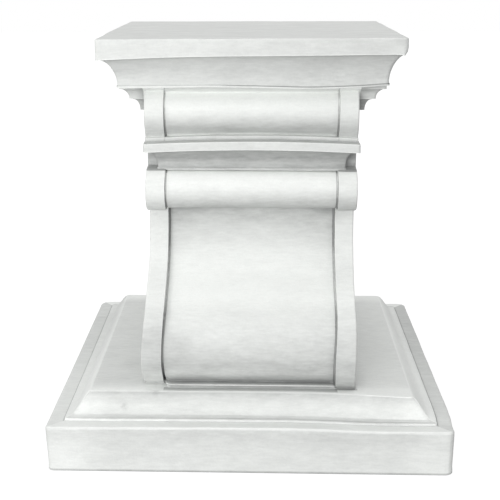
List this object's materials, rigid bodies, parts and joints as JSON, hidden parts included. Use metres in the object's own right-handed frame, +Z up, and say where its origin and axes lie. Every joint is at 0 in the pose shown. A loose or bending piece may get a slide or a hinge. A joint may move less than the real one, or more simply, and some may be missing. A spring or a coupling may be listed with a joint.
{
  "type": "scroll plinth",
  "caption": "Square display plinth: a wide base with an ogee step, a waisted scroll block with rolls and a shelf moulding, and a square cap that carries an urn or a statue.",
  "frame": {"origin": "the middle of the underside", "axes": "+Z up, and the scrolls' front faces -Y"},
  "size_m": [0.434, 0.434, 0.449],
  "materials": {
    "cast_white": "white cast-stone finish, matt, faintly mottled and brushed, with a thin grey wash left in the creases and soft, slightly worn edges"
  },
  "bodies": {
    "root": {"plinth": "cast_white"}
  },
  "joints": []
}
